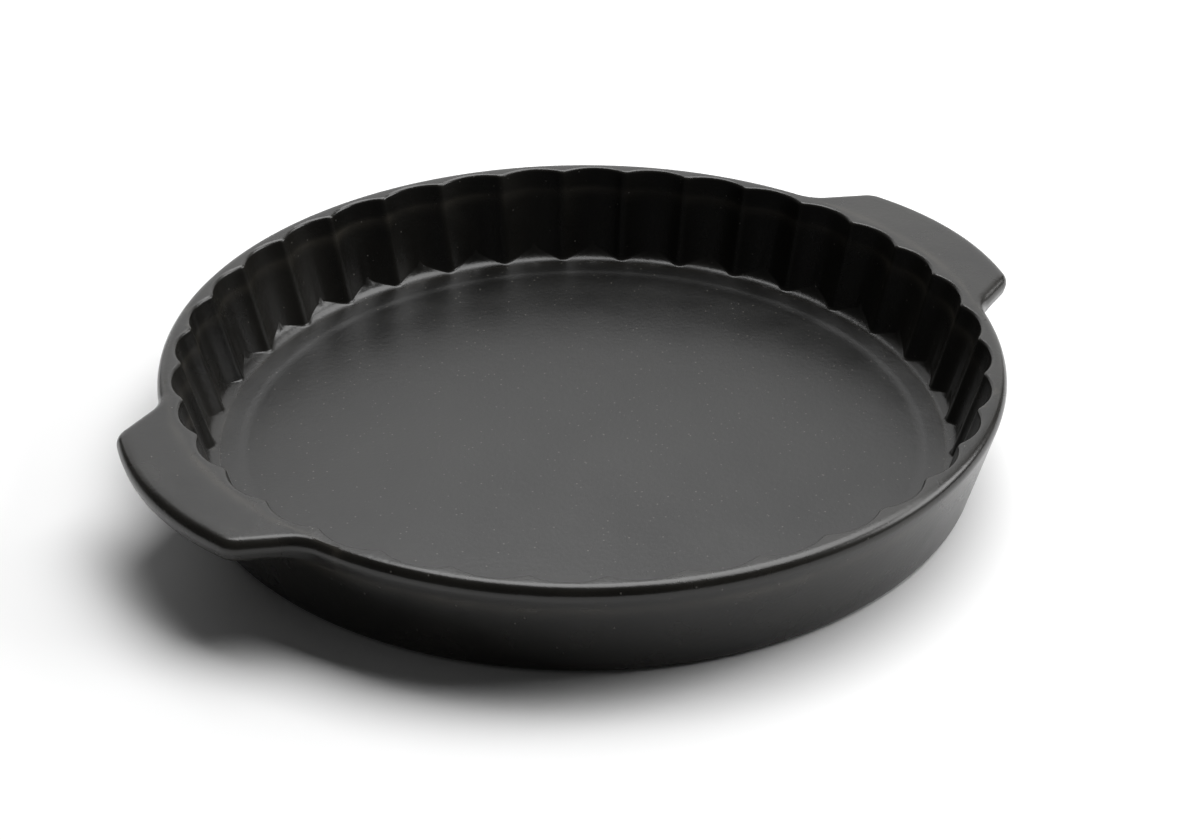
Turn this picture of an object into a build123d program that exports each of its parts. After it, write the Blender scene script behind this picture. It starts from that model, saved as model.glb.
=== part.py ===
# Round fluted tart dish with two lug handles: one fired and glazed ceramic body.
# Millimetres, +Z up. The origin is the centre of the resting face, the handles lie on X.
# Each named region of the one body is its own solid, and neighbours meet face to face.
import os
from math import asin, atan2, cos, hypot, pi, radians, sin, sqrt, tan

from build123d import *

# Whole dish
height = 38.0
rim_radius = 145.0          # the rim at its widest
base_radius = 135.5         # outer wall carried down to the resting plane
rim_depth = 8.0             # the rim and the handles are this thick
foot_height = 0.8           # the bare ring stands this far below the glazed underside

# Flutes: a ridge points inwards and a crown outwards, and both are arcs
flute_count = 36
ridge_top, crown_top = 137.2, 140.1        # radii at the top plane
ridge_arc_top = 3.0
ridge_base, crown_base = 126.4, 129.0      # radii carried down to the resting plane
ridge_arc_base = 4.5

# Inside floor
floor_level = 3.8
floor_radius = 117.3        # the flat floor ends here, at a low soft step
step_width, step_rise = 2.5, 0.3
band_rise = 0.36            # the band outside the step climbs this much
floor_joint = 126.0         # the floor disc ends, and the wall foot and its cove begin
cove_radius = 6.2           # hollow corner between the floor and the wall
cove_turn = radians(62)     # the cove runs straight on once it is this steep

# Underside
foot_inner, foot_outer = 119.0, 131.0
foot_flare = 0.5
heel_radius = 2.2           # rounding where the outer wall turns under

# Handles
handle_reach = 164.5        # centre of the dish to the handle's tip
tip_arc = 110.0             # the tip edge is a shallow arc of this radius
side_at_rim = 46.0          # half width where a side line crosses side_from
side_from = 144.0
side_angle = radians(26)    # the sides close in towards the tip by this much
corner_radius = 9.0
root_radius = 14.0          # hollow blend from the handle into the rim
seat_radius = 142.5         # a handle's inner face is this cylinder
seat_half_angle = 25.0      # degrees

# Rounded edges
rim_rounding = 3.5
lip_rounding = 1.2

# The outer wall is the straight line from the base that touches the rim's rounding
rounding_in, rounding_up = rim_radius - rim_rounding - base_radius, height - rim_rounding
draft = asin(rim_rounding / hypot(rounding_in, rounding_up)) + atan2(rounding_in, rounding_up)
edge_overhang = base_radius + height * tan(draft) - rim_radius   # lost to the rounding
joint_level = height - rim_depth
step_level = floor_level + step_rise
band_level = step_level + band_rise
band_slope = atan2(band_rise, floor_joint - floor_radius - step_width)
clearance = 4.0             # cutting shapes run this far past the faces they open


def outer_radius(z):
    return base_radius + z * tan(draft)


def polar(radius, angle):
    return Vector(radius * cos(angle), radius * sin(angle))


def flute_wire(ridge, crown, ridge_arc, z):
    """Closed wave of tangent arcs, one ridge on +X."""
    half = pi / flute_count
    ridge_centre = ridge + ridge_arc
    across, along = ridge_centre * sin(half), ridge_centre * cos(half) - crown
    crown_arc = (across**2 + along**2 - ridge_arc**2) / (2 * (ridge_arc - along))
    crown_centre = crown - crown_arc
    lean = atan2(across, ridge_centre * cos(half) - crown_centre)
    meet = Vector(crown_centre + crown_arc * cos(lean), crown_arc * sin(lean))
    meet_radius, meet_angle = hypot(meet.X, meet.Y), atan2(meet.Y, meet.X)
    edges = []
    for i in range(flute_count):
        at_ridge, at_crown = 2 * half * i, 2 * half * i + half
        before = polar(meet_radius, at_ridge - half + meet_angle)
        after = polar(meet_radius, at_ridge + half - meet_angle)
        following = polar(meet_radius, at_crown + meet_angle)
        edges.append(ThreePointArc(before, polar(ridge, at_ridge), after))
        edges.append(ThreePointArc(after, polar(crown, at_crown), following))
    return Pos(0, 0, z) * Wire(edges)


def fluted_space():
    """The space inside the wall and rim, open above, with straight tapering flutes."""
    top = height + clearance
    share = top / height
    ridge = ridge_base + (ridge_top - ridge_base) * share
    crown = crown_base + (crown_top - crown_base) * share
    low = flute_wire(ridge_base, crown_base, ridge_arc_base, 0)
    high = flute_wire(ridge, crown, ridge_arc_top, top)
    return Solid.make_loft([low, high], ruled=True)


def spun(points):
    """Solid of revolution about Z from (radius, height) points."""
    face = make_face(Polyline(*[(r, 0, z) for r, z in points], close=True))
    return revolve(face, Axis.Z)


def on_cove(slope):
    """The place in the floor's turned section where the cove is this steep."""
    return Vector(floor_joint + cove_radius * (sin(slope) - sin(band_slope)), 0,
                  band_level + cove_radius * (cos(band_slope) - cos(slope)))


def coved_space():
    """What the turned floor leaves open: step, band, cove, then wide of the wall."""
    top = height + clearance
    start, end = on_cove(band_slope), on_cove(cove_turn)
    run_out = (top - end.Z) / tan(cove_turn)
    cove = ThreePointArc(start, on_cove((band_slope + cove_turn) / 2), end)
    rest = Polyline(
        end, (end.X + run_out, 0, top), (0, 0, top), (0, 0, floor_level),
        (floor_radius, 0, floor_level), (floor_radius + step_width, 0, step_level), start,
    )
    return revolve(make_face([cove, *rest.edges()]), Axis.Z)


def handle_outline(side):
    """One handle from above, reaching into the rim so that the two join."""
    start = Vector(side_from, side_at_rim)
    along = Vector(cos(side_angle), -sin(side_angle))
    from_tip_centre = start - Vector(handle_reach - tip_arc, 0)
    lead = from_tip_centre.dot(along)
    run = sqrt(tip_arc**2 - from_tip_centre.length**2 + lead**2) - lead
    corner = start + along * run
    root = start - along * (side_from - rim_radius / 2) / cos(side_angle)
    tip = ThreePointArc(corner, (handle_reach, 0), (corner.X, -corner.Y))
    sides = Polyline((corner.X, -corner.Y), (root.X, -root.Y), root, corner)
    face = make_face([tip, *sides.edges()])
    return face if side > 0 else face.rotate(Axis.Z, 180)


def rim_outline():
    """The whole top outline: the rim circle with both handles blended into it."""
    outline = Circle(rim_radius) + handle_outline(1) + handle_outline(-1)
    outline = fillet(outline.vertices().sort_by_distance((0, 0))[-4:], corner_radius)
    outline = fillet(outline.vertices().sort_by_distance((0, 0))[:4], root_radius)
    return offset(outline, edge_overhang)


def top_slab():
    """Rim and handles in one piece, drafted and with a rounded top edge."""
    slab = extrude(Pos(0, 0, height) * rim_outline(), -rim_depth, taper=draft * 180 / pi)
    return fillet(slab.edges().group_by(Axis.Z)[-1], rim_rounding)


def seat_space(side):
    """The sector outside the rim that belongs to one handle."""
    end = polar(2 * handle_reach, radians(seat_half_angle))
    wedge = make_face(Polyline((0, 0), (end.X, -end.Y), (end.X, end.Y), close=True))
    sector = Pos(0, 0, joint_level - clearance) * (wedge - Circle(seat_radius))
    solid = extrude(sector, rim_depth + 2 * clearance)
    return solid if side > 0 else solid.rotate(Axis.Z, 180)


def rim(slab, space):
    ring = slab - space
    lip = [e for e in ring.edges().group_by(Axis.Z)[-1]
           if hypot(e.center().X, e.center().Y) < (crown_top + rim_radius) / 2]
    ring = fillet(lip, lip_rounding)
    return ring - seat_space(1) - seat_space(-1)


def fluted_wall(space):
    section = make_face(Polyline(
        (floor_joint, 0, foot_height), (outer_radius(foot_height), 0, foot_height),
        (outer_radius(joint_level), 0, joint_level), (floor_joint, 0, joint_level),
        close=True,
    ))
    heel = section.vertices().sort_by_distance((base_radius, 0, 0))[0]
    return revolve(section.face().fillet_2d(heel_radius, [heel]), Axis.Z) - space


def floor():
    return spun([
        (0, foot_height), (floor_joint, foot_height), (floor_joint, band_level),
        (floor_radius + step_width, step_level), (floor_radius, floor_level),
        (0, floor_level),
    ])


def foot_ring():
    return spun([
        (foot_inner + foot_flare, 0), (foot_outer - foot_flare, 0),
        (foot_outer, foot_height), (foot_inner, foot_height),
    ])


def build():
    slab = top_slab()
    space = fluted_space() & coved_space()
    parts = {
        "floor": floor(),
        "fluted_wall": fluted_wall(space),
        "rim": rim(slab, space),
        "handle_left": slab & seat_space(-1),
        "handle_right": slab & seat_space(1),
        "foot_ring": foot_ring(),
    }
    os.makedirs("parts", exist_ok=True)
    for name, solid in parts.items():
        print(name, len(solid.solids()), round(solid.volume), solid.is_valid)
        export_step(solid, f"parts/{name}.step")


build()
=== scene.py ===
import math
import bpy
from mathutils import Matrix, Vector


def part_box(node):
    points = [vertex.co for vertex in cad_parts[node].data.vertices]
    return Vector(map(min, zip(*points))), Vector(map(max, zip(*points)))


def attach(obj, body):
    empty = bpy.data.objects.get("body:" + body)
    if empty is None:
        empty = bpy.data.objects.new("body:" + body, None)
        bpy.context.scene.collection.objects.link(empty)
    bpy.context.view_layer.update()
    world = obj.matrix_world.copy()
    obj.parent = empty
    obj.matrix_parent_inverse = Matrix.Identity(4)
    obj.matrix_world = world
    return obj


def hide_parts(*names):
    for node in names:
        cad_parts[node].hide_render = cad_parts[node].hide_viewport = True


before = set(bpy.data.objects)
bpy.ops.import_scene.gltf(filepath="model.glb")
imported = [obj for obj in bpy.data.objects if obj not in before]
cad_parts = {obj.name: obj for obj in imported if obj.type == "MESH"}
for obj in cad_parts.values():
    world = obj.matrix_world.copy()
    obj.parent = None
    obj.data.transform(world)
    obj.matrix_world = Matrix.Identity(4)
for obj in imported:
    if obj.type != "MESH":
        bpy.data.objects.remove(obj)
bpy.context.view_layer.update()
print("frame loaded:", sorted(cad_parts))

mm = 0.001
weldDistance = 0.004 * mm
smoothAngle = math.radians(38)      # sharper edges than this stay crisp
sameAngle = 1e-6
edgeSlack = 1e-9

# Sizes that every piece shares, read from the frame where it holds them
dish = {
    "height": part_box("rim")[1].z,
    "rimRadius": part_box("rim")[1].y,
    "jointLevel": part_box("rim")[0].z,
    "floorJoint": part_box("floor")[1].x,
    "footHeight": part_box("foot_ring")[1].z,
    "baseRadius": 135.5 * mm,
    "rimRounding": 3.5 * mm,
    "bandLevel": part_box("floor")[1].z,
    "floorLevel": 3.8 * mm, "floorRadius": 117.3 * mm,
    "stepWidth": 2.5 * mm, "stepRise": 0.3 * mm,
    "seatRadius": 142.5 * mm,
    "seatHalfAngle": math.radians(25),
}

# The outer wall is the straight line from the base that touches the rim's rounding
roundingIn = dish["rimRadius"] - dish["rimRounding"] - dish["baseRadius"]
roundingUp = dish["height"] - dish["rimRounding"]
draft = math.asin(dish["rimRounding"] / math.hypot(roundingIn, roundingUp))
draft += math.atan2(roundingIn, roundingUp)


def outerRadius(z):
    return dish["baseRadius"] + z * math.tan(draft)


overhang = outerRadius(dish["height"]) - dish["rimRadius"]


def softPath(corners):
    # Each corner is (x, z, radius, steps round it, steps along the run that leads to it)
    places = [Vector(c[:2]) for c in corners]
    path = [places[0]]
    for i in range(1, len(corners)):
        radius, arcSteps, runSteps = corners[i][2:]
        here = places[i]
        if arcSteps == 0:
            start, bend = here, []
        else:
            back = (places[i - 1] - here).normalized()
            ahead = (places[i + 1] - here).normalized()
            half = back.angle(ahead) / 2
            start = here + back * radius / math.tan(half)
            centre = here + (back + ahead).normalized() * radius / math.sin(half)
            spoke = start - centre
            turn = math.pi - 2 * half
            if back.x * ahead.y - back.y * ahead.x > 0:
                turn = -turn
            bend = []
            for k in range(1, arcSteps + 1):
                bend.append(centre + Matrix.Rotation(turn * k / arcSteps, 2) @ spoke)
        begin = path[-1]
        for k in range(1, runSteps + 1):
            path.append(begin.lerp(start, k / runSteps))
        path += bend
    return path


def rolledSheet(name, columns, cap=False):
    # A grid whose columns are laid along the given lines of points, then sewn up
    rows = len(columns[0])
    bpy.ops.object.select_all(action="DESELECT")
    bpy.ops.mesh.primitive_grid_add(x_subdivisions=rows - 1, y_subdivisions=len(columns) - 1)
    piece = bpy.context.object
    piece.name = piece.data.name = name
    flat = [value for column in columns for point in column for value in point]
    piece.data.vertices.foreach_set("co", flat)
    bpy.ops.object.mode_set(mode="EDIT")
    bpy.ops.mesh.select_all(action="SELECT")
    bpy.ops.mesh.remove_doubles(threshold=weldDistance)
    bpy.ops.mesh.dissolve_degenerate(threshold=weldDistance)
    if cap:
        bpy.ops.mesh.select_all(action="SELECT")
        bpy.ops.mesh.fill_holes(sides=0)
    bpy.ops.mesh.select_all(action="SELECT")
    bpy.ops.mesh.normals_make_consistent(inside=False)
    bpy.ops.object.mode_set(mode="OBJECT")
    bpy.ops.object.shade_smooth_by_angle(angle=smoothAngle)
    print("made", name, len(piece.data.polygons), "faces")
    return piece


def around(angle, section):
    return [(p.x * math.cos(angle), p.x * math.sin(angle), p.y) for p in section]


flutes = {
    "count": 36,
    "ridgeTop": 137.2 * mm, "crownTop": 140.1 * mm, "ridgeArcTop": 3.0 * mm,
    "ridgeBase": 126.4 * mm, "crownBase": 129.0 * mm, "ridgeArcBase": 4.5 * mm,
    "columnsEach": 28,
    "crowding": 0.62,      # columns gather on the tight ridges
}


def fluteRadius(fromRidge, z):
    # Distance from the centre at this height and this angle away from the nearest ridge
    share = z / dish["height"]
    ridge = flutes["ridgeBase"] + (flutes["ridgeTop"] - flutes["ridgeBase"]) * share
    crown = flutes["crownBase"] + (flutes["crownTop"] - flutes["crownBase"]) * share
    arc = flutes["ridgeArcBase"] + (flutes["ridgeArcTop"] - flutes["ridgeArcBase"]) * share
    half = math.pi / flutes["count"]
    ridgeCentre = ridge + arc
    across = ridgeCentre * math.sin(half)
    along = ridgeCentre * math.cos(half) - crown
    crownArc = (across**2 + along**2 - arc**2) / (2 * (arc - along))
    crownCentre = crown - crownArc
    lean = math.atan2(across, ridgeCentre * math.cos(half) - crownCentre)
    meet = Vector((crownCentre + crownArc * math.cos(lean), crownArc * math.sin(lean)))
    if half - fromRidge > math.atan2(meet.y, meet.x):
        side = ridgeCentre * math.sin(fromRidge)
        return ridgeCentre * math.cos(fromRidge) - math.sqrt(arc**2 - side**2)
    side = crownCentre * math.sin(half - fromRidge)
    return crownCentre * math.cos(half - fromRidge) + math.sqrt(crownArc**2 - side**2)


def flutePhases():
    # Offsets from a ridge, from one ridge to just before the next
    pitch = 2 * math.pi / flutes["count"]
    phases = []
    for k in range(flutes["columnsEach"]):
        t = k / flutes["columnsEach"]
        shift = flutes["crowding"] * math.sin(2 * math.pi * t) / (2 * math.pi)
        phases.append(pitch * (t - shift))
    return phases


def nearestRidge(phase):
    pitch = 2 * math.pi / flutes["count"]
    return min(phase, pitch - phase)


wall = {
    "coveRadius": 6.2 * mm, "coveSteps": 8,
    "footRounding": 1.7 * mm, "footSetback": 1.0 * mm, "footSteps": 7,
    "footHalvings": 24,
    "upSteps": 10, "topSteps": 2, "outerSteps": 10, "underSteps": 4, "jointSteps": 2,
    "heelRadius": 2.2 * mm, "heelSteps": 6,
}

bandSlope = math.atan2(dish["bandLevel"] - dish["floorLevel"] - dish["stepRise"],
                       dish["floorJoint"] - dish["floorRadius"] - dish["stepWidth"])


def coveHeight(radius):
    # The cove is turned on the wheel, so it only depends on the distance from the centre
    hollow = wall["coveRadius"]
    across = radius - dish["floorJoint"] + hollow * math.sin(bandSlope)
    return dish["bandLevel"] + hollow * math.cos(bandSlope) - math.sqrt(hollow**2 - across**2)


def wallFoot(offset):
    # Where the cove runs into this part of the flute, found by halving
    near = dish["floorJoint"]
    far = near + wall["coveRadius"] * (1 - math.sin(bandSlope))
    for k in range(wall["footHalvings"]):
        middle = (near + far) / 2
        if fluteRadius(offset, coveHeight(middle)) > middle:
            near = middle
        else:
            far = middle
    return near


def wallSection(phase):
    # From the floor joint up the cove and the flute, down the outside and back underneath
    offset = nearestRidge(phase)
    joint, foot = dish["jointLevel"], dish["footHeight"]
    start, meet = dish["floorJoint"], wallFoot(offset)
    coveEnd = meet - wall["footSetback"]
    corners = [(start, dish["bandLevel"], 0, 0, 0)]
    for k in range(1, wall["coveSteps"] + 1):
        radius = start + (coveEnd - start) * k / wall["coveSteps"]
        corners.append((radius, coveHeight(radius), 0, 0, 1))
    return softPath(corners + [
        (meet, coveHeight(meet), wall["footRounding"], wall["footSteps"], 1),
        (fluteRadius(offset, joint), joint, 0, 0, wall["upSteps"]),
        (outerRadius(joint), joint, 0, 0, wall["topSteps"]),
        (outerRadius(foot), foot, wall["heelRadius"], wall["heelSteps"], wall["outerSteps"]),
        (start, foot, 0, 0, wall["underSteps"]),
        (start, dish["bandLevel"], 0, 0, wall["jointSteps"]),
    ])


def makeWall():
    sections = [(phase, wallSection(phase)) for phase in flutePhases()]
    columns = []
    for i in range(flutes["count"]):
        turn = 2 * math.pi * i / flutes["count"]
        columns += [around(turn + phase, section) for phase, section in sections]
    columns.append(columns[0])
    return rolledSheet("flutedWall", columns)


handles = {
    "reach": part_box("handle_right")[1].x,
    "tipArc": 110 * mm, "sideFrom": 144 * mm, "sideAtRim": 46 * mm,
    "sideAngle": math.radians(26), "cornerRadius": 9 * mm, "rootRadius": 14 * mm,
    "underRounding": 2.4 * mm, "webRadius": 4.0 * mm, "underDepth": 9 * mm, "webDrop": 8 * mm,
    # Both roundings shrink to this share of how far the handle stands out of the rim
    "underShare": 0.3, "webShare": 0.35, "leastRounding": 0.05 * mm, "webGap": 0.01 * mm,
    "rimSteps": 5, "rootSteps": 12, "sideSteps": 8, "cornerSteps": 14, "tipSteps": 14,
    "landSteps": 8, "edgeSteps": 8, "downSteps": 3, "underSteps": 6,
    "webSteps": 8, "webRunSteps": 6,
}


def unit(angle):
    return Vector((math.cos(angle), math.sin(angle)))


def handleEdge():
    # Half of the outline from above, as (place, outward direction), from rim to tip
    rootRadius, cornerRadius = handles["rootRadius"], handles["cornerRadius"]
    reach, tipArc = handles["reach"], handles["tipArc"]
    slopeAngle = math.pi / 2 - handles["sideAngle"]
    slope = unit(slopeAngle)                         # square to the side line
    along = unit(-handles["sideAngle"])
    sideOut = slope.dot(Vector((handles["sideFrom"], handles["sideAtRim"])))
    rootOut = sideOut + rootRadius
    rootFar = dish["rimRadius"] + rootRadius
    root = slope * rootOut + along * math.sqrt(rootFar**2 - rootOut**2)
    tip = Vector((reach - tipArc, 0))
    cornerOut = sideOut - cornerRadius - slope.dot(tip)
    cornerFar = tipArc - cornerRadius
    corner = tip + slope * cornerOut + along * math.sqrt(cornerFar**2 - cornerOut**2)
    rootAngle = math.atan2(root.y, root.x)
    tipAngle = math.atan2(corner.y, corner.x - tip.x)
    edge = []

    def addArc(centre, radius, first, last, steps):
        for k in range(steps):
            out = unit(first + (last - first) * k / steps)
            edge.append((centre + out * radius, out))

    origin = Vector((0, 0))
    addArc(origin, dish["rimRadius"], dish["seatHalfAngle"], rootAngle, handles["rimSteps"])
    addArc(root, -rootRadius, rootAngle, slopeAngle, handles["rootSteps"])
    sideStart, sideEnd = root - slope * rootRadius, corner + slope * cornerRadius
    for k in range(handles["sideSteps"]):
        edge.append((sideStart.lerp(sideEnd, k / handles["sideSteps"]), slope))
    addArc(corner, cornerRadius, slopeAngle, tipAngle, handles["cornerSteps"])
    addArc(tip, tipArc, tipAngle, 0, handles["tipSteps"])
    edge.append((Vector((reach, 0)), Vector((1, 0))))
    return edge


def roundedHeight(inset):
    # Height of the top surface this far in from the widest line
    radius = dish["rimRounding"]
    short = max(0, radius - max(0, inset))
    return dish["height"] - radius + math.sqrt(radius**2 - short**2)


def handleColumn(place, out):
    # One line of points from the seat over the top, round the edge, under and back
    joint, top, seat = dish["jointLevel"], dish["height"], dish["seatRadius"]
    spread = place.length - dish["rimRadius"]
    least = handles["leastRounding"]
    under = min(handles["underRounding"], handles["underShare"] * spread + least)
    web = min(handles["webRadius"], handles["webShare"] * spread + least)
    sideEnd = overhang - (top - joint) * math.tan(draft)
    profile = softPath([
        (-dish["rimRounding"], top, 0, 0, 0),
        (overhang, top, dish["rimRounding"], handles["edgeSteps"], 1),
        (sideEnd, joint, under, handles["underSteps"], handles["downSteps"]),
        (sideEnd - handles["underDepth"], joint, 0, 0, 0),
    ])
    landEnd = place - out * dish["rimRounding"]
    angle = math.atan2(landEnd.y, landEnd.x)
    inset = (place.length - seat) * out.dot(place.normalized())
    seam = Vector((seat * math.cos(angle), seat * math.sin(angle), roundedHeight(inset)))
    edge = []
    for p in profile:
        spot = place + out * p.x
        edge.append(Vector((spot.x, spot.y, p.y)) if spot.length > seat else seam)
    steps = handles["landSteps"]
    column = [seam.lerp(edge[0], k / steps) for k in range(steps)] + edge
    last = edge[-1]
    underAngle = math.atan2(last.y, last.x)
    underRadius = math.hypot(last.x, last.y)
    wallRadius = min(outerRadius(joint), underRadius - handles["webGap"])
    drop = handles["webDrop"]
    path = softPath([
        (underRadius, joint, 0, 0, 0),
        (wallRadius, joint, web, handles["webSteps"], handles["webRunSteps"]),
        (wallRadius - drop * math.tan(draft), joint - drop, 0, 0, 0),
    ])
    for p in path[1:]:
        column.append(Vector((p.x * math.cos(underAngle), p.x * math.sin(underAngle), p.y)))
    low = column[-1]
    column.append(Vector((seat * math.cos(underAngle), seat * math.sin(underAngle), low.z)))
    column.append(seam)
    return column


def makeHandle(name, side):
    # side is 1 for the handle on +X, and -1 turns it half round to -X
    half = [handleColumn(place, out) for place, out in handleEdge()]
    columns = []
    for column in half:
        columns.append([(side * p.x, side * p.y, p.z) for p in column])
    for column in half[-2::-1]:
        columns.append([(side * p.x, -side * p.y, p.z) for p in column])
    return rolledSheet(name, columns, cap=True)


rim = {
    "lip": 1.4 * mm, "lipSteps": 6, "upSteps": 5, "landSteps": 3, "edgeSteps": 8,
    "outerSteps": 3, "underSteps": 2,
}


def rimSection(phase, spread=None):
    # With no spread the section is the plain rim; with one it stops at a handle's seat
    offset = nearestRidge(phase)
    top, joint = dish["height"], dish["jointLevel"]
    inside = [
        (fluteRadius(offset, joint), joint, 0, 0, 0),
        (fluteRadius(offset, top), top, rim["lip"], rim["lipSteps"], rim["upSteps"]),
    ]
    if spread is None:
        outside = [
            (outerRadius(top), top, dish["rimRounding"], rim["edgeSteps"], rim["landSteps"]),
            (outerRadius(joint), joint, 0, 0, rim["outerSteps"]),
        ]
    else:
        seat = dish["seatRadius"]
        seamHeight = roundedHeight(dish["rimRadius"] + spread - seat)
        outside = [
            (seat, seamHeight, 0, 0, rim["landSteps"]),
            (seat, joint, 0, 0, rim["edgeSteps"] + rim["outerSteps"]),
        ]
    return softPath(inside + outside + [(inside[0][0], joint, 0, 0, rim["underSteps"])])


def makeRim():
    edge = [(math.atan2(p.y, p.x), p.length - dish["rimRadius"]) for p, out in handleEdge()]

    def spreadAt(angle):
        # How far the handle's edge stands out of the rim. At the seat's own four ends
        # rounding misses the list, so the tip's value leaves the seam 0.15 mm too high
        for (a, before), (b, after) in zip(edge, edge[1:]):
            if b <= angle <= a + edgeSlack:
                return before + (after - before) * (a - angle) / (a - b)
        return edge[-1][1]

    columns = []
    limit = dish["seatHalfAngle"]
    for i in range(flutes["count"]):
        for phase in flutePhases():
            turn = 2 * math.pi * i / flutes["count"] + phase
            fromAxis = abs((turn + math.pi / 2) % math.pi - math.pi / 2)
            atEnd = abs(fromAxis - limit) < sameAngle
            plain = around(turn, rimSection(phase))
            if fromAxis > limit and not atEnd:
                columns.append(plain)
                continue
            seated = around(turn, rimSection(phase, spreadAt(min(fromAxis, limit))))
            if not atEnd:
                columns.append(seated)
                continue
            entering = abs((turn + limit + math.pi / 2) % math.pi - math.pi / 2) < sameAngle
            columns += [plain, seated] if entering else [seated, plain]
    columns.append(columns[0])
    return rolledSheet("rimBand", columns)


base = {
    "columns": 360,
    "stepSoftness": 26 * mm, "softSteps": 5, "floorSteps": 24, "bandSteps": 2,
    "jointSteps": 2, "underSteps": 16,
    "footInner": 119.0 * mm, "footOuter": 131.0 * mm, "footFlare": 0.5 * mm,
    "footSoftness": 0.25 * mm, "footSoftSteps": 4,
    "flareSteps": 2, "restSteps": 6, "seatSteps": 4,
}


def ringOf(name, section):
    columns = []
    for k in range(base["columns"]):
        columns.append(around(2 * math.pi * k / base["columns"], section))
    columns.append(columns[0])
    return rolledSheet(name, columns)


def makeFloor():
    level, band, foot = dish["floorLevel"], dish["bandLevel"], dish["footHeight"]
    stepEnd = dish["floorRadius"] + dish["stepWidth"]
    soft, softSteps = base["stepSoftness"], base["softSteps"]
    section = softPath([
        (0, level, 0, 0, 0),
        (dish["floorRadius"], level, soft, softSteps, base["floorSteps"]),
        (stepEnd, level + dish["stepRise"], soft, softSteps, 1),
        (dish["floorJoint"], band, 0, 0, base["bandSteps"]),
        (dish["floorJoint"], foot, 0, 0, base["jointSteps"]),
        (0, foot, 0, 0, base["underSteps"]),
    ])
    return ringOf("floorDisc", section)


def makeFoot():
    inner, outer, flare = base["footInner"], base["footOuter"], base["footFlare"]
    foot, soft, softSteps = dish["footHeight"], base["footSoftness"], base["footSoftSteps"]
    section = softPath([
        (inner, foot, 0, 0, 0),
        (inner + flare, 0, soft, softSteps, base["flareSteps"]),
        (outer - flare, 0, soft, softSteps, base["restSteps"]),
        (outer, foot, 0, 0, base["flareSteps"]),
        (inner, foot, 0, 0, base["seatSteps"]),
    ])
    return ringOf("footRing", section)


def newGroup(name, inputs, outputs):
    group = bpy.data.node_groups.new(name, "ShaderNodeTree")
    for label, kind, value in inputs:
        socket = group.interface.new_socket(label, in_out="INPUT", socket_type=kind)
        if value is not None:
            socket.default_value = value
    for label, kind in outputs:
        group.interface.new_socket(label, in_out="OUTPUT", socket_type=kind)
    start = group.nodes.new("NodeGroupInput")
    end = group.nodes.new("NodeGroupOutput")
    return group, start, end


def addNode(tree, kind, links=(), **values):
    # values set sockets by name; links are (own socket, other node's socket)
    node = tree.nodes.new(kind)
    for key, value in values.items():
        if key in node.bl_rna.properties:
            setattr(node, key, value)
        else:
            node.inputs[key].default_value = value
    for own, other in links:
        tree.links.new(other, node.inputs[own])
    return node


def mathNode(tree, operation, first, second=None):
    node = tree.nodes.new("ShaderNodeMath")
    node.operation = operation
    for k, value in enumerate([first, second]):
        if isinstance(value, (int, float)):
            node.inputs[k].default_value = value
        elif value is not None:
            tree.links.new(value, node.inputs[k])
    return node.outputs[0]


def ramp(tree, source, stops):
    node = tree.nodes.new("ShaderNodeValToRGB")
    while len(node.color_ramp.elements) < len(stops):
        node.color_ramp.elements.new(0.5)
    for element, (place, shade) in zip(node.color_ramp.elements, stops):
        element.position = place
        element.color = (shade, shade, shade, 1)
    tree.links.new(source, node.inputs["Fac"])
    return node.outputs["Color"]


def makePeelGroup():
    # The fine unevenness of a fired glaze: slow waves, orange peel and a few pinholes
    group, start, end = newGroup("glazePeel", [
        ("Vector", "NodeSocketVector", None),
        ("Wave", "NodeSocketFloat", 0.1),
        ("Peel", "NodeSocketFloat", 0.1),
        ("Pinhole", "NodeSocketFloat", 0.2),
    ], [("Normal", "NodeSocketVector")])
    place = start.outputs["Vector"]
    slow = addNode(group, "ShaderNodeTexNoise", [("Vector", place)],
                   Scale=38.0, Detail=2.0, Roughness=0.45)
    fine = addNode(group, "ShaderNodeTexNoise", [("Vector", place)],
                   Scale=620.0, Detail=3.0, Roughness=0.55)
    pits = addNode(group, "ShaderNodeTexVoronoi", [("Vector", place)], Scale=210.0)
    pitMask = ramp(group, pits.outputs["Distance"], [(0.03, 0.0), (0.075, 1.0)])
    waveBump = addNode(group, "ShaderNodeBump", [
        ("Strength", start.outputs["Wave"]), ("Height", slow.outputs["Fac"]),
    ], Distance=0.004)
    peelBump = addNode(group, "ShaderNodeBump", [
        ("Strength", start.outputs["Peel"]), ("Height", fine.outputs["Fac"]),
        ("Normal", waveBump.outputs["Normal"]),
    ], Distance=0.0006)
    pitBump = addNode(group, "ShaderNodeBump", [
        ("Strength", start.outputs["Pinhole"]), ("Height", pitMask),
        ("Normal", peelBump.outputs["Normal"]),
    ], Distance=0.0003)
    group.links.new(pitBump.outputs["Normal"], end.inputs["Normal"])
    return group


def makeFleckGroup():
    # Sparse specks in the glaze, small and large, as a mask
    group, start, end = newGroup("glazeFlecks", [
        ("Vector", "NodeSocketVector", None),
        ("Size", "NodeSocketFloat", 400.0),
        ("Amount", "NodeSocketFloat", 0.5),
    ], [("Mask", "NodeSocketFloat")])
    cells = addNode(group, "ShaderNodeTexVoronoi", [
        ("Vector", start.outputs["Vector"]), ("Scale", start.outputs["Size"]),
    ])
    near = ramp(group, cells.outputs["Distance"], [(0.08, 1.0), (0.2, 0.0)])
    pick = addNode(group, "ShaderNodeSeparateColor", [("Color", cells.outputs["Color"])])
    chosen = mathNode(group, "LESS_THAN", pick.outputs["Red"], start.outputs["Amount"])
    group.links.new(mathNode(group, "MULTIPLY", near, chosen), end.inputs["Mask"])
    return group


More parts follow.
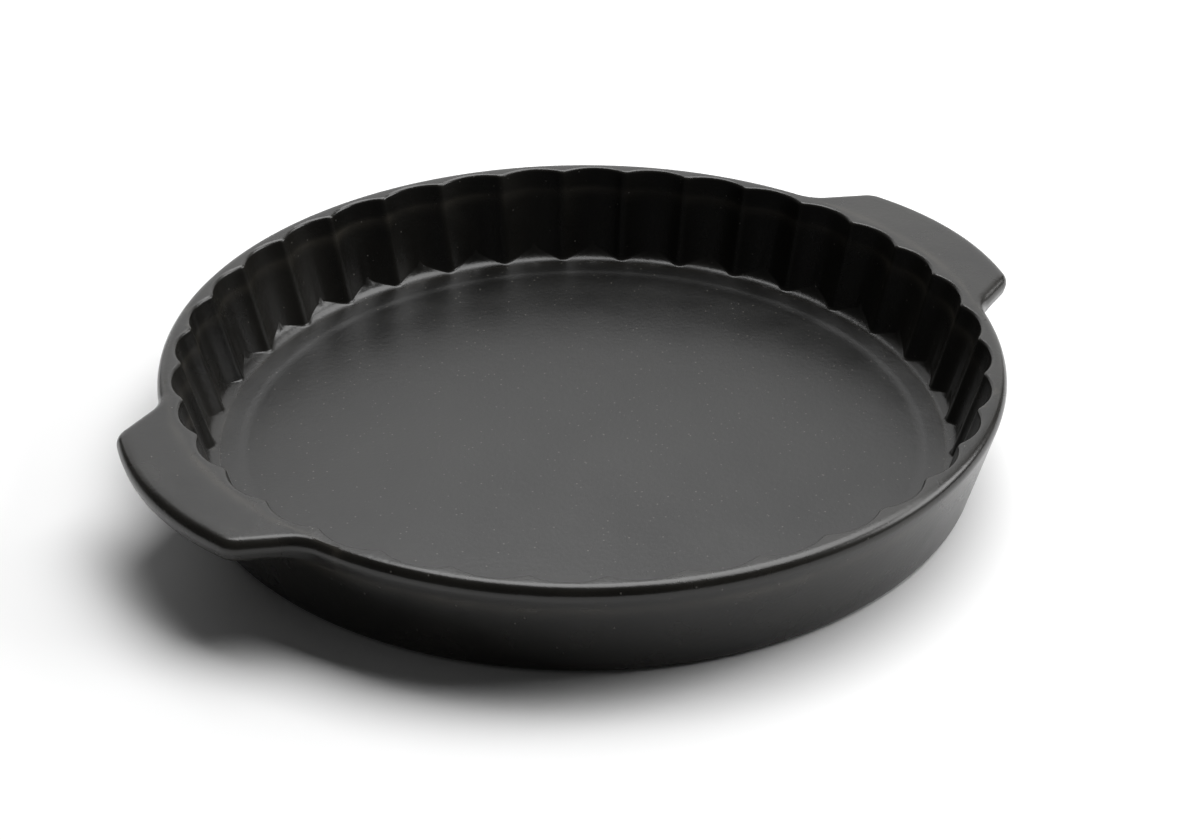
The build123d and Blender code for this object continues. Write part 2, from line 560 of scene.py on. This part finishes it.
def makeEdgeGroup():
    # Where the glaze runs thin over a raised edge, lightened further as a painted highlight along
    # ridges and lips
    group, start, end = newGroup("thinGlazeAndEdgeHighlight", [
        ("Vector", "NodeSocketVector", None),
        ("Spread", "NodeSocketFloat", 1.0),
    ], [("Mask", "NodeSocketFloat")])
    geometry = group.nodes.new("ShaderNodeNewGeometry")
    raised = ramp(group, geometry.outputs["Pointiness"], [(0.505, 0.0), (0.56, 1.0)])
    patchy = addNode(group, "ShaderNodeTexNoise", [("Vector", start.outputs["Vector"])],
                     Scale=60.0, Detail=3.0)
    soft = ramp(group, patchy.outputs["Fac"], [(0.35, 0.35), (0.65, 1.0)])
    both = mathNode(group, "MULTIPLY", raised, soft)
    group.links.new(mathNode(group, "MULTIPLY", both, start.outputs["Spread"]), end.inputs["Mask"])
    return group


groups = {"peel": makePeelGroup(), "flecks": makeFleckGroup(), "edges": makeEdgeGroup()}


def placeGroup(tree, key, vector, **values):
    node = tree.nodes.new("ShaderNodeGroup")
    node.node_tree = groups[key]
    tree.links.new(vector, node.inputs["Vector"])
    for name, value in values.items():
        node.inputs[name].default_value = value
    return node


def blendColour(tree, factor, first, second):
    node = tree.nodes.new("ShaderNodeMix")
    node.data_type = "RGBA"
    tree.links.new(factor, node.inputs["Factor"])
    for key, value in (("A", first), ("B", second)):
        socket = [s for s in node.inputs if s.name == key and s.type == "RGBA"][0]
        if isinstance(value, tuple):
            socket.default_value = (*value, 1)
        else:
            tree.links.new(value, socket)
    return [s for s in node.outputs if s.type == "RGBA"][0]


glazeIndex = 1.48
fleckSize = 520.0
edgeSpread = 0.6
glazes = {
    "wallGlaze": {
        "wave": 0.07, "peel": 0.09, "pinhole": 0.12, "flecks": 0.05, "rough": (0.23, 0.31),
        "deep": (0.0042, 0.0040, 0.0034), "worn": (0.0100, 0.0093, 0.0078),
        "edge": (0.040, 0.036, 0.029), "fleck": (0.09, 0.086, 0.078),
    },
    # The floor wears the same glaze as the wall; its darker colours are painted shade on the dish
    # floor
    "shadedFloorGlaze": {
        "wave": 0.04, "peel": 0.10, "pinhole": 0.16, "flecks": 0.22, "rough": (0.28, 0.35),
        "deep": (0.0018, 0.0018, 0.0015), "worn": (0.0042, 0.0041, 0.0035),
        "edge": (0.012, 0.011, 0.009), "fleck": (0.10, 0.096, 0.086),
    },
}


def makeGlaze(name):
    look = glazes[name]
    material = bpy.data.materials.new(name)
    material.use_nodes = True
    tree = material.node_tree
    shader = tree.nodes["Principled BSDF"]
    place = tree.nodes.new("ShaderNodeTexCoord").outputs["Object"]
    peel = placeGroup(tree, "peel", place, Wave=look["wave"], Peel=look["peel"],
                      Pinhole=look["pinhole"])
    flecks = placeGroup(tree, "flecks", place, Size=fleckSize, Amount=look["flecks"])
    edges = placeGroup(tree, "edges", place, Spread=edgeSpread)
    clouds = addNode(tree, "ShaderNodeTexNoise", [("Vector", place)],
                     Scale=22.0, Detail=4.0, Roughness=0.6)
    patch = ramp(tree, clouds.outputs["Fac"], [(0.35, 0.0), (0.65, 1.0)])
    colour = blendColour(tree, patch, look["deep"], look["worn"])
    # Raised edges take a lighter colour: partly glaze running thin, partly a painted highlight on
    # the ridges
    colour = blendColour(tree, edges.outputs["Mask"], colour, look["edge"])
    colour = blendColour(tree, flecks.outputs["Mask"], colour, look["fleck"])
    tree.links.new(colour, shader.inputs["Base Color"])
    low, high = look["rough"]
    sheen = addNode(tree, "ShaderNodeMapRange", [("Value", clouds.outputs["Fac"])],
                    **{"From Min": 0.3, "From Max": 0.7, "To Min": low, "To Max": high})
    tree.links.new(sheen.outputs["Result"], shader.inputs["Roughness"])
    tree.links.new(peel.outputs["Normal"], shader.inputs["Normal"])
    shader.inputs["IOR"].default_value = glazeIndex
    return material


clay = {
    "dark": (0.24, 0.17, 0.12), "light": (0.36, 0.27, 0.20), "fleck": (0.09, 0.06, 0.045),
    "fleckSize": 700.0, "fleckAmount": 0.2, "grit": 900.0, "rough": 0.85,
}


def makeClay():
    material = bpy.data.materials.new("bareClay")
    material.use_nodes = True
    tree = material.node_tree
    shader = tree.nodes["Principled BSDF"]
    place = tree.nodes.new("ShaderNodeTexCoord").outputs["Object"]
    grit = addNode(tree, "ShaderNodeTexNoise", [("Vector", place)],
                   Scale=clay["grit"], Detail=5.0, Roughness=0.7)
    tone = addNode(tree, "ShaderNodeTexNoise", [("Vector", place)], Scale=30.0, Detail=3.0)
    flecks = placeGroup(tree, "flecks", place, Size=clay["fleckSize"],
                        Amount=clay["fleckAmount"])
    colour = blendColour(tree, tone.outputs["Fac"], clay["dark"], clay["light"])
    colour = blendColour(tree, flecks.outputs["Mask"], colour, clay["fleck"])
    tree.links.new(colour, shader.inputs["Base Color"])
    bump = addNode(tree, "ShaderNodeBump", [("Height", grit.outputs["Fac"])],
                   Strength=0.5, Distance=0.0004)
    tree.links.new(bump.outputs["Normal"], shader.inputs["Normal"])
    shader.inputs["Roughness"].default_value = clay["rough"]
    return material


def finishPiece(piece, node, material):
    piece.data.materials.clear()
    piece.data.materials.append(material)
    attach(piece, "root")
    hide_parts(node)


wallGlaze, shadedFloorGlaze, bareClay = makeGlaze("wallGlaze"), makeGlaze("shadedFloorGlaze"), makeClay()
finishPiece(makeWall(), "fluted_wall", wallGlaze)
finishPiece(makeRim(), "rim", wallGlaze)
finishPiece(makeHandle("handleRight", 1), "handle_right", wallGlaze)
finishPiece(makeHandle("handleLeft", -1), "handle_left", wallGlaze)
finishPiece(makeFloor(), "floor", shadedFloorGlaze)
finishPiece(makeFoot(), "foot_ring", bareClay)
print("pieces finished")


studio = {
    "azimuth": math.radians(-33.08), "elevation": math.radians(29.98), "distance": 1.0,
    "pan": math.radians(-0.341), "tilt": math.radians(1.383), "roll": math.radians(-0.244),
    "lens": 87.37, "sensor": 36,
    "floorSize": 8.0, "floorShade": 0.9, "floorRough": 0.9,
    "surroundings": 0.05, "backdrop": 0.95,
    # name: azimuth from the camera's, elevation, distance, width, height, radiance
    "lights": {
        "keyPanel": (148, 66, 1.9, 2.2, 1.3, 5.8),
        "backPanel": (182, 22, 2.6, 4.2, 1.7, 1.12),
        "rightPanel": (100, 28, 2.0, 1.1, 0.8, 6.5),
    },
}


def directionFrom(azimuth, elevation):
    return Vector((math.sin(azimuth) * math.cos(elevation),
                   -math.cos(azimuth) * math.cos(elevation), math.sin(elevation)))


def makeLights():
    aim = Vector((0, 0, dish["height"]))
    for name, (turn, rise, far, wide, high, radiance) in studio["lights"].items():
        out = directionFrom(studio["azimuth"] + math.radians(turn), math.radians(rise))
        light = bpy.data.lights.new(name, "AREA")
        light.shape = "RECTANGLE"
        light.size, light.size_y = wide, high
        light.energy = radiance * math.pi * wide * high
        holder = bpy.data.objects.new(name, light)
        holder.location = aim + out * far
        holder.rotation_mode = "QUATERNION"
        holder.rotation_quaternion = (-out).to_track_quat("-Z", "Y")
        bpy.context.scene.collection.objects.link(holder)


def makeWorld():
    # Nearly dark for reflections, and a pale backdrop where the camera sees it directly
    world = bpy.data.worlds.new("studioWorld")
    world.use_nodes = True
    tree = world.node_tree
    seen = tree.nodes.new("ShaderNodeLightPath").outputs["Is Camera Ray"]
    strength = addNode(tree, "ShaderNodeMapRange", [("Value", seen)],
                       **{"To Min": studio["surroundings"], "To Max": studio["backdrop"]})
    tree.nodes["Background"].inputs["Color"].default_value = (1, 1, 1, 1)
    tree.links.new(strength.outputs["Result"], tree.nodes["Background"].inputs["Strength"])
    bpy.context.scene.world = world


def makeGround():
    bpy.ops.object.select_all(action="DESELECT")
    bpy.ops.mesh.primitive_plane_add(size=studio["floorSize"])
    ground = bpy.context.object
    ground.name = "studioFloor"
    paint = bpy.data.materials.new("studioFloorPaint")
    paint.use_nodes = True
    shader, shade = paint.node_tree.nodes["Principled BSDF"], studio["floorShade"]
    shader.inputs["Base Color"].default_value = (shade, shade, shade, 1)
    shader.inputs["Roughness"].default_value = studio["floorRough"]
    ground.data.materials.append(paint)


def makeCamera():
    lens = bpy.data.cameras.new("studioCamera")
    lens.lens = studio["lens"]
    lens.sensor_width = studio["sensor"]
    camera = bpy.data.objects.new("studioCamera", lens)
    bpy.context.scene.collection.objects.link(camera)
    out = directionFrom(studio["azimuth"], studio["elevation"])
    facing = (-out).to_track_quat("-Z", "Y").to_matrix()
    facing = facing @ Matrix.Rotation(studio["pan"], 3, "Y")
    facing = facing @ Matrix.Rotation(-studio["tilt"], 3, "X")
    facing = facing @ Matrix.Rotation(studio["roll"], 3, "Z")
    camera.rotation_mode = "QUATERNION"
    camera.rotation_quaternion = facing.to_quaternion()
    camera.location = out * studio["distance"] + Vector((0, 0, dish["height"]))
    bpy.context.scene.camera = camera


makeLights()
makeWorld()
makeGround()
makeCamera()
bpy.context.scene.view_settings.view_transform = "Standard"
print("studio ready")
